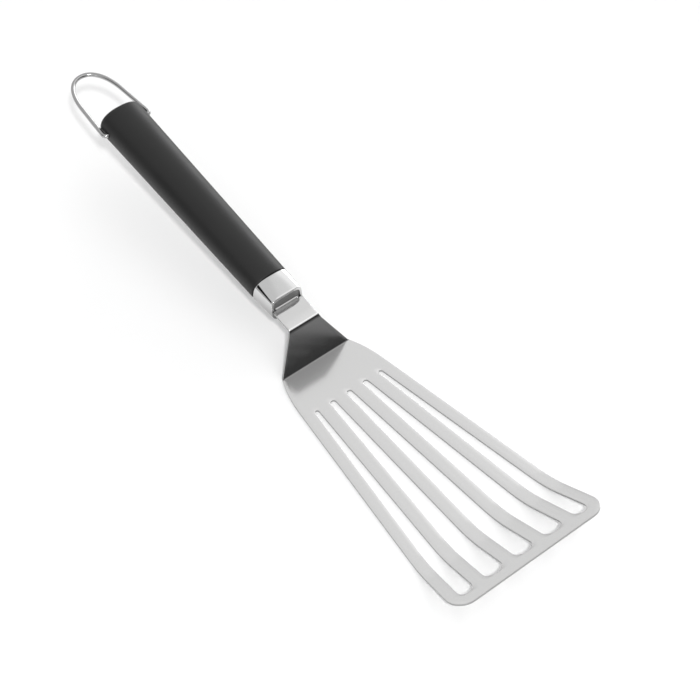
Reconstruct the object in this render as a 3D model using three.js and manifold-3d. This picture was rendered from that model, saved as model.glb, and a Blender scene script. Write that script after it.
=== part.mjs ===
// Griddle spatula: a slotted spring-steel blade on a rising soft-grip handle with a wire hang loop.
// Millimetres. In the finished part +X points to the blade's tip, +Y to the left and +Z up.
// The origin lies under the solid heel of the blade, on the face that rests on the griddle.
import * as THREE from 'three';
import { mergeVertices } from 'three/addons/utils/BufferGeometryUtils.js';
import Module from 'manifold-3d';

const wasm = await Module();
wasm.setup();

// Fits
const fitGap = 0.3; // between pieces that sit in or against one another
const hingeGap = 0.3; // round the loop's feet, so that the loop swings freely

// Handle attitude and the sheet that runs from the tang to the tip
const handleRise = 8.7; // degrees that the handle climbs from the blade towards its butt
const sheetThickness = 1.15;
const tangDrop = 0.7; // middle of the tang below the handle's axis
const tangLength = 43.7; // straight run inside the handle and collar
const tangWidth = 14;
const tangCorner = 2; // chamfer at the tang's rear end
const shoulderLength = 0.3; // slope from the tang's width to the neck's
const neckWidth = 19.2;
const neckLength = 12.65;
const riserBend = 58; // degrees down from the handle's axis
const riserBendRadius = 1.5;
const riserLength = 21.98;
const riserFillet = 5; // length over which the neck's edge turns into the riser's
const heelBendRadius = 1.6;
const heelWidth = 44; // across the bend at the foot of the riser
const heelSweep = 22.9; // length over which the edge settles into the blade's straight flare
const heelSlope = 0.52; // edge slope where the riser meets the blade
const restPoint = 13.9; // from the heel bend to the origin under the solid heel

// Blade
const bladeFlat = 126.9; // from the heel bend to the start of the curl
const flareStartWidth = 51.14; // of the straight flare, measured back at the heel
const flareSlope = 0.1404; // growth of the half width along the blade
const curlRadius = 55;
const curlAngle = 18.5; // degrees that the tip turns up
const tipLength = 27.3; // straight run from the curl to the tip's edge
const tipCorner = 9.5;

// Drain slots: they fan out and share the width that the rails and bars leave
const slotShares = [0.75, 1, 1, 1, 0.75]; // width of each slot against the middle one
const slotStart = 26.2; // from the heel bend to the slots' narrow ends
const frontRail = 6.1; // from the slots' wide ends to the tip's edge
const sideRail = 6.8;
const barWidth = 7.5;
const slotStartRound = 1.7; // length of the round at the narrow end
const slotEndRound = 4.4; // length of the round at the wide end

// Grip
const gripLength = 138;
const gripFrontHalfWidth = 11.5;
const gripButtHalfWidth = 13.3;
const gripFrontHalfHeight = 8.65;
const gripButtHalfHeight = 10;
const ovalPower = 2.6; // 2 is an ellipse, more is squarer
const gripFrontRound = 0.8;
const buttRound = 3.2;
const buttDome = 0.8;
const sleeveWall = 1.5;
const buttWall = 2.5;

// Core inside the sleeve
const coreWall = 1.6;
const coreSolid = 32; // length behind the collar that stays solid round the tang
const pinRadius = 2;
const pinInset = 0.4; // of the pin's ends below the core's skin
const pinFront = 8; // from the grip's front back to the first pin
const pinSpacing = 13;

// Collar and the plug in its mouth
const collarRearHalfWidth = 11.2;
const collarNoseHalfWidth = 10;
const collarRearHeight = 8.45; // above and below the axis at the grip
const collarNoseTop = 6.6; // height of the flat top at its front edge
const collarNoseBottom = 8.2;
const collarRearPower = 2.8;
const collarNosePower = 6; // squarer shoulders beside the flat top
const collarLowPower = 3.4; // of the nose's lower half
const collarWall = 1.2;
const collarTopLength = 13.5; // along the flat top
const collarLength = 15.2; // along the neck
const plugBack = 10; // from the grip's front to the plug's rear face
const plugFootStep = 0.8; // of the plug's lower face behind the collar's end
const faceDepth = 0.7; // of the plug's upper face behind the collar's sloped front
const ledgeDepth = 0.1; // of the ledge over the neck behind that front
const ledgeHeight = 0.4;
const ledgeRise = 0.5; // slope of the ledge's top

// Hang loop
const wireRadius = 1.25;
const footInset = 9.7; // of the hinge line from the butt
const footLift = 0.8; // of the hinge line above the axis
const footEnd = 8.6; // of the feet's inner ends from the middle
const legClear = 0.85; // between the grip's widest point and the legs
const legBend = 2.5;
const legLength = 24; // straight run of each leg
const legTaper = 0.083; // closing of the legs along that run
const loopReach = 45; // from the hinge line to the middle of the wire at the far end
const archPull = 13; // how far the arch carries on along the legs
const archCrown = 7.2; // half width of the flat of the arch
const loopDroop = 4.5; // degrees that the loop hangs below the handle's axis at rest

// Facets
const ovalSides = 44;
const wireSides = 10;
const pinSides = 24;
const bendStep = 11; // degrees per step in the sheet's bends
const curlSteps = 7;
const roundSteps = 5;

const radians = THREE.MathUtils.degToRad;
const lerp = THREE.MathUtils.lerp;

// Solids for cutting and joining

function toSolid(geometry) {
  const bare = geometry.clone();
  bare.deleteAttribute('normal');
  bare.deleteAttribute('uv');
  const merged = mergeVertices(bare, 1e-5);
  const vertProperties = new Float32Array(merged.attributes.position.array);
  const triVerts = new Uint32Array(merged.index.array);
  return new wasm.Manifold(new wasm.Mesh({ numProp: 3, vertProperties, triVerts }));
}

function toGeometry(solid) {
  const mesh = solid.getMesh();
  const geometry = new THREE.BufferGeometry();
  geometry.setAttribute('position', new THREE.BufferAttribute(mesh.vertProperties, 3));
  geometry.setIndex(new THREE.BufferAttribute(mesh.triVerts, 1));
  geometry.computeVertexNormals();
  return geometry;
}

function indexedGeometry(points, triangles) {
  const geometry = new THREE.BufferGeometry().setFromPoints(points);
  geometry.setIndex(triangles);
  geometry.computeVertexNormals();
  return geometry;
}

// A closed skin over rings of equal count that follow one another, with a point at each end
function loft(rings, firstPole, lastPole) {
  const count = rings[0].length;
  const points = [...rings.flat(), firstPole, lastPole];
  const first = points.length - 2;
  const last = points.length - 1;
  const triangles = [];
  for (let i = 0; i < count; i += 1) {
    const next = (i + 1) % count;
    const end = (rings.length - 1) * count;
    triangles.push(first, next, i, last, end + i, end + next);
    for (let r = 0; r + 1 < rings.length; r += 1) {
      const a = r * count + i;
      const b = r * count + next;
      triangles.push(a, b, a + count, b, b + count, a + count);
    }
  }
  return indexedGeometry(points, triangles);
}

// One oval ring across the handle, with its own shape above and below the axis
function ovalRing(station, halfWidth, above, below, powerAbove, powerBelow) {
  const ring = [];
  for (let i = 0; i < ovalSides; i += 1) {
    const angle = (i / ovalSides) * 2 * Math.PI;
    const across = Math.cos(angle);
    const up = Math.sin(angle);
    const power = 2 / (up >= 0 ? powerAbove : powerBelow);
    const height = up >= 0 ? above : below;
    const y = halfWidth * Math.sign(across) * Math.abs(across) ** power;
    const z = height * Math.sign(up) * Math.abs(up) ** power;
    ring.push(new THREE.Vector3(station, y, z));
  }
  return ring;
}

function axisPoint(station) {
  return new THREE.Vector3(station, 0, 0);
}

function loftAlong(rings) {
  return loft(rings, axisPoint(rings[0][0].x), axisPoint(rings[rings.length - 1][0].x));
}

function box(fromX, toX, halfWidth, fromZ, toZ) {
  const geometry = new THREE.BoxGeometry(toX - fromX, 2 * halfWidth, toZ - fromZ);
  geometry.translate((fromX + toX) / 2, 0, (fromZ + toZ) / 2);
  return geometry;
}

// Path of the sheet in the handle's side view, from the tang's rear end to the tip

const heelBend = handleRise + riserBend;
const shoulderStation = collarLength + fitGap;
const tangFront = shoulderStation + shoulderLength; // where the tang ends and the neck begins
const sheetSteps = [
  { name: 'tang', length: tangLength },
  { name: 'neck', length: neckLength },
  { name: 'riserBend', radius: riserBendRadius, angle: -riserBend },
  { name: 'riser', length: riserLength },
  { name: 'heelBend', radius: heelBendRadius, angle: heelBend },
  { name: 'flat', length: bladeFlat },
  { name: 'curl', radius: curlRadius, angle: curlAngle },
  { name: 'tip', length: tipLength },
];
const sheetStart = {};
let sheetEnd = 0;
for (const step of sheetSteps) {
  step.length ??= step.radius * radians(Math.abs(step.angle));
  sheetStart[step.name] = sheetEnd;
  sheetEnd += step.length;
}

// Middle of the sheet and its heading at a distance along it
function sheetAt(distance) {
  let x = tangFront - tangLength;
  let z = -tangDrop;
  let heading = 0;
  let left = distance;
  for (const step of sheetSteps) {
    const run = Math.min(left, step.length);
    const turn = step.angle ? (radians(step.angle) * run) / step.length : 0;
    const chord = turn ? (2 * step.radius * Math.sin(Math.abs(turn) / 2)) : run;
    x += chord * Math.cos(heading + turn / 2);
    z += chord * Math.sin(heading + turn / 2);
    heading += turn;
    left -= run;
    if (left <= 0) break;
  }
  return { x, z, heading };
}

// Half outline of the flat sheet, as points [distance along it, half width]

const bladeStart = sheetStart.flat;
const flareHalf = (along) => flareStartWidth / 2 + flareSlope * along;

function halfOutline() {
  const path = new THREE.Path();
  const neckFrom = sheetStart.neck - shoulderLength;
  path.moveTo(0, tangWidth / 2 - tangCorner);
  path.lineTo(tangCorner, tangWidth / 2);
  path.lineTo(neckFrom, tangWidth / 2);
  path.lineTo(neckFrom + shoulderLength, neckWidth / 2);
  // neck edge, fillet and riser edge
  const riserFoot = sheetStart.heelBend + (bladeStart - sheetStart.heelBend) / 2;
  const riserTop = sheetStart.riser;
  const filletShare = riserFillet / 2 / (riserFoot - riserTop);
  const filletHalf = lerp(neckWidth / 2, heelWidth / 2, filletShare);
  path.lineTo(riserTop - riserFillet / 2, neckWidth / 2);
  path.quadraticCurveTo(riserTop, neckWidth / 2, riserTop + riserFillet / 2, filletHalf);
  path.lineTo(riserFoot, heelWidth / 2);
  // sweep into the straight flare
  const sweepEnd = bladeStart + heelSweep;
  const rise = flareHalf(heelSweep) - heelWidth / 2;
  const run = sweepEnd - riserFoot;
  const meet = (rise - flareSlope * run) / (heelSlope - flareSlope);
  const meetHalf = heelWidth / 2 + heelSlope * meet;
  path.quadraticCurveTo(riserFoot + meet, meetHalf, sweepEnd, flareHalf(heelSweep));
  // flare and rounded tip corner
  const lean = Math.atan(flareSlope);
  const centre = sheetEnd - tipCorner;
  const centreHalf = flareHalf(centre - bladeStart) - tipCorner / Math.cos(lean);
  path.lineTo(centre - tipCorner * Math.sin(lean), centreHalf + tipCorner * Math.cos(lean));
  path.absarc(centre, centreHalf, tipCorner, Math.PI / 2 + lean, 0, true);
  return path.getPoints(roundSteps + 3);
}

const outline = halfOutline();

function halfWidthAt(distance) {
  const after = Math.max(1, outline.findIndex((point) => point.x >= distance));
  const from = outline[after - 1];
  const to = outline[after];
  return lerp(from.y, to.y, (distance - from.x) / (to.x - from.x));
}

// Drain slots: the two sides of each slot at a distance along the sheet

const slotFrom = bladeStart + slotStart;
const slotTo = sheetEnd - frontRail;

// Share of its full width that a slot has near its rounded ends
function slotOpening(distance) {
  const intoStart = Math.max(0, 1 - (distance - slotFrom) / slotStartRound);
  const intoEnd = Math.max(0, 1 - (slotTo - distance) / slotEndRound);
  return Math.sqrt(Math.max(0, 1 - Math.max(intoStart, intoEnd) ** 2));
}

function slotSides(distance) {
  const half = flareHalf(distance - bladeStart);
  const bars = barWidth * (slotShares.length - 1);
  const shares = slotShares.reduce((sum, share) => sum + share, 0);
  const unit = (2 * half - 2 * sideRail - bars) / shares;
  const opening = slotOpening(distance);
  let side = sideRail - half;
  return slotShares.map((share) => {
    const middle = side + (share * unit) / 2;
    side += share * unit + barWidth;
    return { middle, half: (opening * share * unit) / 2 };
  });
}

// Distances along the sheet that carry a row of points
function sheetRows() {
  const rows = outline.map((point) => point.x);
  for (const step of sheetSteps) {
    const from = sheetStart[step.name];
    const steps = step.name === 'curl' ? curlSteps : Math.ceil(Math.abs(step.angle ?? 0) / bendStep);
    for (let i = 0; i <= steps; i += 1) rows.push(from + (step.length * i) / Math.max(1, steps));
  }
  for (let i = 0; i <= roundSteps; i += 1) {
    const share = 1 - Math.cos((i / roundSteps) * (Math.PI / 2));
    rows.push(slotFrom + slotStartRound * share, slotTo - slotEndRound * share);
  }
  rows.sort((a, b) => a - b);
  const closest = 1e-3;
  return rows.filter((row, i) => i === 0 || row - rows[i - 1] > closest);
}

// Points across one row, and the spans of metal between them as pairs of places in the row
function sheetRow(distance) {
  const half = halfWidthAt(distance);
  const across = [-half];
  const spans = [];
  const inSlots = distance >= slotFrom - 1e-6 && distance <= slotTo + 1e-6;
  let from = 0;
  for (const slot of inSlots ? slotSides(distance) : []) {
    const to = across.length;
    if (slot.half > 1e-3) across.push(slot.middle - slot.half, slot.middle + slot.half);
    else across.push(slot.middle);
    spans.push({ from, to });
    from = across.length - 1;
  }
  across.push(half);
  spans.push({ from, to: across.length - 1 });
  return { distance, across, spans, inSlots };
}

function bladeGeometry() {
  const rows = sheetRows().map(sheetRow);
  const points = [];
  const triangles = [];
  for (const row of rows) {
    const { x, z, heading } = sheetAt(row.distance);
    row.first = points.length;
    for (const y of row.across) {
      for (const side of [-1, 1]) {
        const offset = (side * sheetThickness) / 2;
        points.push(new THREE.Vector3(x - offset * Math.sin(heading), y, z + offset * Math.cos(heading)));
      }
    }
  }
  const lower = (row, i) => row.first + 2 * i;
  const upper = (row, i) => row.first + 2 * i + 1;
  // one triangle on the upper face and its twin on the lower face, turned over
  function skin(a, i, b, j, c, k) {
    triangles.push(upper(a, i), upper(b, j), upper(c, k));
    triangles.push(lower(a, i), lower(c, k), lower(b, j));
  }
  function wall(a, i, b, j) {
    triangles.push(lower(a, i), lower(b, j), upper(b, j), lower(a, i), upper(b, j), upper(a, i));
  }
  for (let r = 0; r + 1 < rows.length; r += 1) {
    const here = rows[r];
    const next = rows[r + 1];
    if (here.inSlots && next.inSlots) {
      here.spans.forEach((span, s) => {
        const ahead = next.spans[s];
        skin(here, span.from, next, ahead.from, next, ahead.to);
        skin(here, span.from, next, ahead.to, here, span.to);
        wall(here, span.from, next, ahead.from);
        wall(next, ahead.to, here, span.to);
      });
    } else {
      let i = 0;
      let j = 0;
      while (i + 1 < here.across.length || j + 1 < next.across.length) {
        const hereLeft = here.across.length - 1 - i;
        const nextLeft = next.across.length - 1 - j;
        if (hereLeft > nextLeft) {
          skin(here, i, next, j, here, i + 1);
          i += 1;
        } else {
          skin(here, i, next, j, next, j + 1);
          j += 1;
        }
      }
      wall(here, 0, next, 0);
      wall(next, next.across.length - 1, here, here.across.length - 1);
    }
  }
  const firstRow = rows[0];
  const lastRow = rows[rows.length - 1];
  wall(firstRow, 1, firstRow, 0);
  wall(lastRow, 0, lastRow, 1);
  return indexedGeometry(points, triangles);
}

// Pins through the core and the tang

const pinStations = [-pinFront, -pinFront - pinSpacing];

function pinGeometry(station, radius, fromZ, toZ) {
  const geometry = new THREE.CylinderGeometry(radius, radius, toZ - fromZ, pinSides);
  geometry.rotateX(Math.PI / 2);
  geometry.translate(station, 0, (fromZ + toZ) / 2);
  return geometry;
}

// Grip sections: an oval that grows evenly from the collar to the butt

function gripHalfWidth(station) {
  return lerp(gripFrontHalfWidth, gripButtHalfWidth, -station / gripLength);
}

function gripHalfHeight(station) {
  return lerp(gripFrontHalfHeight, gripButtHalfHeight, -station / gripLength);
}

function gripRing(station, inset) {
  const halfHeight = gripHalfHeight(station) - inset;
  const halfWidth = gripHalfWidth(station) - inset;
  return ovalRing(station, halfWidth, halfHeight, halfHeight, ovalPower, ovalPower);
}

const sleeveBore = sleeveWall;
const coreSkin = sleeveWall + fitGap;
const coreRear = -gripLength + buttWall + fitGap;
const coreFront = plugBack - fitGap;
const footStation = -gripLength + footInset;

function footHole() {
  const hole = new THREE.CylinderGeometry(
    wireRadius + hingeGap, wireRadius + hingeGap, 4 * gripButtHalfWidth, pinSides);
  hole.translate(footStation, 0, footLift);
  return toSolid(hole);
}

function sleeveGeometry() {
  const rings = [];
  const edge = -gripLength + buttDome;
  const domeShare = 0.5;
  const domeRing = gripRing(edge, lerp(gripButtHalfWidth, buttRound, domeShare));
  rings.push(domeRing.map((point) => point.clone().setX(edge - buttDome * (1 - domeShare ** 2))));
  for (let i = 0; i <= roundSteps; i += 1) {
    const turn = (i / roundSteps) * (Math.PI / 2);
    rings.push(gripRing(edge + buttRound * (1 - Math.cos(turn)), buttRound * (1 - Math.sin(turn))));
  }
  rings.push(gripRing(-gripFrontRound, 0));
  rings.push(gripRing(-gripFrontRound * (1 - Math.SQRT1_2), gripFrontRound * (1 - Math.SQRT1_2)));
  rings.push(gripRing(0, gripFrontRound));
  const skin = loft(rings, axisPoint(-gripLength), axisPoint(0));
  const bore = loftAlong([gripRing(-gripLength + buttWall, sleeveBore), gripRing(fitGap, sleeveBore)]);
  return toGeometry(toSolid(skin).subtract(toSolid(bore)).subtract(footHole()));
}

function coreGeometry() {
  const nose = collarRing(coreFront, collarWall + fitGap);
  const skin = loftAlong([gripRing(coreRear, coreSkin), gripRing(0, coreSkin), nose]);
  const hollowSkin = coreSkin + coreWall;
  const hollow = loftAlong([gripRing(coreRear - fitGap, hollowSkin), gripRing(-coreSolid, hollowSkin)]);
  const tangHalf = sheetThickness / 2 + fitGap;
  const tangRear = tangFront - tangLength;
  const tangSlot = box(
    tangRear - fitGap, plugBack, tangWidth / 2 + fitGap, -tangDrop - tangHalf, tangHalf - tangDrop);
  let core = toSolid(skin).subtract(toSolid(hollow)).subtract(toSolid(tangSlot)).subtract(footHole());
  for (const station of pinStations) {
    const reach = 2 * gripButtHalfHeight;
    core = core.subtract(toSolid(pinGeometry(station, pinRadius + fitGap, -reach, reach)));
  }
  return toGeometry(core);
}

function tangPinGeometry(station) {
  const end = gripHalfHeight(station) - coreSkin - pinInset;
  return pinGeometry(station, pinRadius, -end, end);
}

function bladeSolid() {
  let blade = toSolid(bladeGeometry());
  for (const station of pinStations) {
    const reach = 2 * sheetThickness;
    blade = blade.subtract(toSolid(pinGeometry(station, pinRadius + fitGap, -reach, reach)));
  }
  return toGeometry(blade);
}

// Collar: the grip's oval at the rear turns into a flat-topped nose that is cut off on a slope

const noseTop = new THREE.Vector2(collarTopLength, collarNoseTop);
const noseLip = new THREE.Vector2(collarLength, sheetThickness / 2 + fitGap - tangDrop);
const noseDown = noseLip.clone().sub(noseTop).normalize();
const noseIn = new THREE.Vector2(noseDown.y, -noseDown.x);

function collarRing(station, inset) {
  const share = station / collarTopLength;
  const above = lerp(collarRearHeight, collarNoseTop, share) - inset;
  const below = lerp(collarRearHeight, collarNoseBottom, share) - inset;
  const power = lerp(collarRearPower, collarNosePower, Math.min(1, share));
  const lowPower = lerp(collarRearPower, collarLowPower, Math.min(1, share));
  const halfWidth = lerp(collarRearHalfWidth, collarNoseHalfWidth, station / collarLength) - inset;
  return ovalRing(station, halfWidth, above, below, power, lowPower);
}

function collarLoft(fromStation, inset) {
  const rings = [];
  const steps = 6;
  for (let i = 0; i <= steps; i += 1) {
    rings.push(collarRing(lerp(fromStation, collarTopLength, i / steps), inset));
  }
  rings.push(collarRing(collarLength + fitGap, inset));
  return toSolid(loftAlong(rings));
}

// Side-view point on the sloped front, a distance down from its top and a depth behind it
function nosePoint(down, depth) {
  return [
    noseTop.x + noseDown.x * down + noseIn.x * depth,
    noseTop.y + noseDown.y * down + noseIn.y * depth,
  ];
}

const farOut = 4 * collarRearHalfWidth; // past the collar on any side

// A side-view shape as a solid that reaches past both sides of the collar
function crossPrism(corners) {
  const shape = new THREE.Shape(corners.map(([x, z]) => new THREE.Vector2(x, z)));
  const geometry = new THREE.ExtrudeGeometry(shape, { depth: 2 * farOut, bevelEnabled: false });
  geometry.translate(0, 0, -farOut);
  geometry.rotateX(Math.PI / 2);
  return toSolid(geometry);
}

function collarGeometry() {
  const beyond = crossPrism([
    nosePoint(-farOut, 0),
    nosePoint(0, 0),
    [noseLip.x, noseLip.y],
    [noseLip.x, -farOut],
    [farOut, -farOut],
    [farOut, farOut],
  ]);
  const shell = collarLoft(fitGap, 0).subtract(collarLoft(0, collarWall));
  return toGeometry(shell.subtract(beyond));
}

function plugGeometry() {
  const slope = noseTop.distanceTo(noseLip);
  const foot = collarLength - plugFootStep;
  const ledgeFoot = nosePoint(slope, ledgeDepth);
  const faceTop = (plugBack - noseTop.x - noseIn.x * faceDepth) / noseDown.x;
  const profile = crossPrism([
    [plugBack, -farOut],
    [foot, -farOut],
    [foot, noseLip.y],
    [ledgeFoot[0], noseLip.y],
    nosePoint(slope - ledgeHeight, ledgeDepth),
    nosePoint(slope - ledgeHeight - ledgeRise, faceDepth),
    nosePoint(faceTop, faceDepth),
  ]);
  const tangHalf = sheetThickness / 2 + fitGap;
  const slot = box(0, farOut, tangWidth / 2 + fitGap, -tangDrop - tangHalf, tangHalf - tangDrop);
  const body = collarLoft(plugBack / 2, collarWall + fitGap).intersect(profile);
  return toGeometry(body.subtract(toSolid(slot)));
}

// Hang loop: a bent wire drawn in its own plane, with the hinge line at zero and the arch behind it

function loopGeometry() {
  const half = gripHalfWidth(footStation) + legClear + wireRadius;
  const legEnd = half - legTaper * legLength;
  const path = new THREE.Path();
  path.moveTo(0, footEnd);
  path.lineTo(0, half - legBend);
  path.quadraticCurveTo(0, half, legBend, half - legTaper * legBend);
  path.lineTo(legLength, legEnd);
  path.bezierCurveTo(legLength + archPull, legEnd - legTaper * archPull, loopReach, archCrown, loopReach, 0);
  const halfWay = path.getPoints(2 * roundSteps);
  const mirrored = halfWay.slice(0, -1).reverse().map((point) => new THREE.Vector2(point.x, -point.y));
  const line = [...halfWay, ...mirrored];
  const rings = line.map((point, i) => {
    const before = line[Math.max(0, i - 1)];
    const after = line[Math.min(line.length - 1, i + 1)];
    const along = after.clone().sub(before).normalize();
    const ring = [];
    for (let k = 0; k < wireSides; k += 1) {
      const angle = (k / wireSides) * 2 * Math.PI;
      const side = wireRadius * Math.cos(angle);
      const up = wireRadius * Math.sin(angle);
      ring.push(new THREE.Vector3(-(point.x - along.y * side), point.y + along.x * side, up));
    }
    return ring;
  });
  const poles = [line[0], line[line.length - 1]].map((point) => new THREE.Vector3(-point.x, point.y, 0));
  return loft(rings.map((ring) => ring.reverse()), ...poles);
}

// Finishes

const steel = { color: 0xcfcfcd, roughness: 0.32, metalness: 1 };
const polished = { color: 0xd8d8d8, roughness: 0.12, metalness: 1 };
const darkSteel = { color: 0x8b8b8b, roughness: 0.3, metalness: 1 };
const wireSteel = { color: 0xc4c4c4, roughness: 0.2, metalness: 1 };
const softBlack = { color: 0x2f2f30, roughness: 0.75, metalness: 0 };
const nylon = { color: 0x3a3a3c, roughness: 0.6, metalness: 0 };

function piece(name, geometry, finish) {
  const mesh = new THREE.Mesh(geometry, new THREE.MeshStandardMaterial(finish));
  mesh.name = name;
  return mesh;
}

// Assembly, in the handle's own axes, then tilted so that the blade lies flat at the origin

const spatula = new THREE.Group();
spatula.add(piece('blade', bladeSolid(), steel));
spatula.add(piece('collar', collarGeometry(), polished));
spatula.add(piece('neck_plug', plugGeometry(), darkSteel));
spatula.add(piece('handle_core', coreGeometry(), nylon));
spatula.add(piece('grip_sleeve', sleeveGeometry(), softBlack));
spatula.add(piece('tang_pin_front', tangPinGeometry(pinStations[0]), wireSteel));
spatula.add(piece('tang_pin_rear', tangPinGeometry(pinStations[1]), wireSteel));

const loop = piece('hang_loop', loopGeometry(), wireSteel);
loop.position.set(footStation, 0, footLift);
loop.rotation.y = -radians(loopDroop);
spatula.add(loop);

const rest = sheetAt(bladeStart + restPoint);
const faceOffset = new THREE.Vector3(Math.sin(rest.heading), 0, -Math.cos(rest.heading));
const restFace = new THREE.Vector3(rest.x, 0, rest.z).addScaledVector(faceOffset, sheetThickness / 2);
spatula.rotation.y = radians(handleRise);
spatula.position.copy(restFace.applyEuler(spatula.rotation).negate());

export default spatula;
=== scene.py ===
import math

import bmesh
import bpy
from mathutils import Matrix, Vector, kdtree


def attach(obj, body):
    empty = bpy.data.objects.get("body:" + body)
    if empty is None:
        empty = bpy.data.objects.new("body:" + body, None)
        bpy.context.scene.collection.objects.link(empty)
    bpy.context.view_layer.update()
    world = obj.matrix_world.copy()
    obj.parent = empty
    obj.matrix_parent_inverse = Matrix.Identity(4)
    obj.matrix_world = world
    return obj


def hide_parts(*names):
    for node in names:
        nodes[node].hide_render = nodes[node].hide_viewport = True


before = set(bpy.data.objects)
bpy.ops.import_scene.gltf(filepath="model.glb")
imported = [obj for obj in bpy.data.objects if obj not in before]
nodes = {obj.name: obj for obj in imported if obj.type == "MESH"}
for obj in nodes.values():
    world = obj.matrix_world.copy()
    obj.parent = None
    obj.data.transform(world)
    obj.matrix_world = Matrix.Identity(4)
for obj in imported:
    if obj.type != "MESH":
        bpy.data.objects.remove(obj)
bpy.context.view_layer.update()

scene = bpy.context.scene
scene.view_settings.view_transform = "Standard"
mm = 0.001
weldGap = 0.0001 * mm
tiny = 1e-9
print("frame loaded,", len(nodes), "CAD nodes")


# view: where the photograph was taken from, in degrees and millimetres
view = dict(
    target=(-8.239, 18.109, 1.15), azimuth=-39.065, elevation=50.401, distance=1107.6,
    lens=107.57, sensor=36, nearClip=50,
)


def toward(azimuth, elevation):
    az = math.radians(azimuth)
    el = math.radians(elevation)
    return Vector((math.cos(el) * math.cos(az), math.cos(el) * math.sin(az), math.sin(el)))


def makeCamera():
    back = toward(view["azimuth"], view["elevation"])
    right = toward(view["azimuth"] + 90, 0)
    up = back.cross(right)
    place = Vector(view["target"]) * mm + back * view["distance"] * mm
    data = bpy.data.cameras.new("photoCamera")
    data.lens = view["lens"]
    data.sensor_width = view["sensor"]
    data.clip_start = view["nearClip"] * mm
    camera = bpy.data.objects.new("photoCamera", data)
    turn = Matrix((right, up, back)).transposed().to_4x4()
    camera.matrix_world = Matrix.Translation(place) @ turn
    scene.collection.objects.link(camera)
    scene.camera = camera
    return back, right, up


back, right, up = makeCamera()


# small makers for node trees

def addNode(tree, kind, **values):
    node = tree.nodes.new(kind)
    for name, value in values.items():
        setattr(node, name, value)
    return node


def feed(tree, socket, value):
    # a socket is linked, a plain value is set
    if isinstance(value, bpy.types.NodeSocket):
        tree.links.new(value, socket)
    else:
        socket.default_value = value


def calc(tree, operation, *values):
    node = addNode(tree, "ShaderNodeMath", operation=operation)
    for socket, value in zip(node.inputs, values):
        feed(tree, socket, value)
    return node.outputs[0]


def noise(tree, coords, scale, detail=3.0, rough=0.5, stretch=None):
    if stretch:
        mapping = addNode(tree, "ShaderNodeMapping")
        mapping.inputs["Scale"].default_value = stretch
        tree.links.new(coords, mapping.inputs["Vector"])
        coords = mapping.outputs[0]
    node = addNode(tree, "ShaderNodeTexNoise")
    node.inputs["Scale"].default_value = scale
    node.inputs["Detail"].default_value = detail
    node.inputs["Roughness"].default_value = rough
    tree.links.new(coords, node.inputs["Vector"])
    return node.outputs["Fac"]


def spread(tree, value, low, high, fromLow=0.0, fromHigh=1.0, shape="LINEAR"):
    node = addNode(tree, "ShaderNodeMapRange", interpolation_type=shape)
    for name, number in (("From Min", fromLow), ("From Max", fromHigh), ("To Min", low), ("To Max", high)):
        node.inputs[name].default_value = number
    tree.links.new(value, node.inputs["Value"])
    return node.outputs[0]


def blendColours(tree, factor, first, second):
    # inputs 6 and 7 are the mix node's colours, output 2 is the mixed one
    node = addNode(tree, "ShaderNodeMix", data_type="RGBA")
    feed(tree, node.inputs[0], factor)
    feed(tree, node.inputs[6], first)
    feed(tree, node.inputs[7], second)
    return node.outputs[2]


def bump(tree, height, strength, distance):
    node = addNode(tree, "ShaderNodeBump")
    node.inputs["Strength"].default_value = strength
    node.inputs["Distance"].default_value = distance
    tree.links.new(height, node.inputs["Height"])
    return node.outputs[0]


def startMaterial(name):
    material = bpy.data.materials.new(name)
    material.use_nodes = True
    tree = material.node_tree
    shader = tree.nodes["Principled BSDF"]
    coords = addNode(tree, "ShaderNodeTexCoord").outputs["Object"]
    return material, tree, shader, coords


def grey(level, warm=0.0):
    return (level + warm, level, level - warm, 1)


# stage: a pale floor, with its size in metres and its drop in mm, and a soft dome;
# a soft lamp behind the camera, placed in mm from the view's target
floor = dict(size=8, level=0.92, mottle=0.004, mottleScale=40, mottleDetail=2, roughness=0.9, drop=0.04)
lamp = dict(power=80, radius=77, back=2215, right=180, up=105)
dome = dict(horizon=0.48, middle=0.8, top=0.77, riseFrom=0.05, riseTo=0.55)
domeSpots = dict(  # each multiplies the dome's level, in full out to one angle and not at all past the other
    darkAhead=dict(azimuth=24, elevation=4, level=0.05, full=16, end=40),
    darkLeft=dict(azimuth=-110, elevation=36, level=0.01, full=12, end=19),
    brightRight=dict(azimuth=53, elevation=62, level=1.6, full=8, end=20),
    brightShoulder=dict(azimuth=98, elevation=44, level=1.6, full=10, end=26),
    brightSide=dict(azimuth=111, elevation=8, level=8, full=10, end=27),
)


def makeFloor():
    material, tree, shader, coords = startMaterial("paleFloor")
    shade = noise(tree, coords, floor["mottleScale"], floor["mottleDetail"])
    low = grey(floor["level"] - floor["mottle"])
    tree.links.new(blendColours(tree, shade, low, grey(floor["level"])), shader.inputs["Base Color"])
    shader.inputs["Roughness"].default_value = floor["roughness"]
    shader.inputs["Specular IOR Level"].default_value = 0
    half = floor["size"] / 2
    mesh = bpy.data.meshes.new("floor")
    corners = [(-half, -half), (half, -half), (half, half), (-half, half)]
    mesh.from_pydata([(x, y, -floor["drop"] * mm) for x, y in corners], [], [(0, 1, 2, 3)])
    mesh.materials.append(material)
    plane = bpy.data.objects.new("floor", mesh)
    scene.collection.objects.link(plane)


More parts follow.
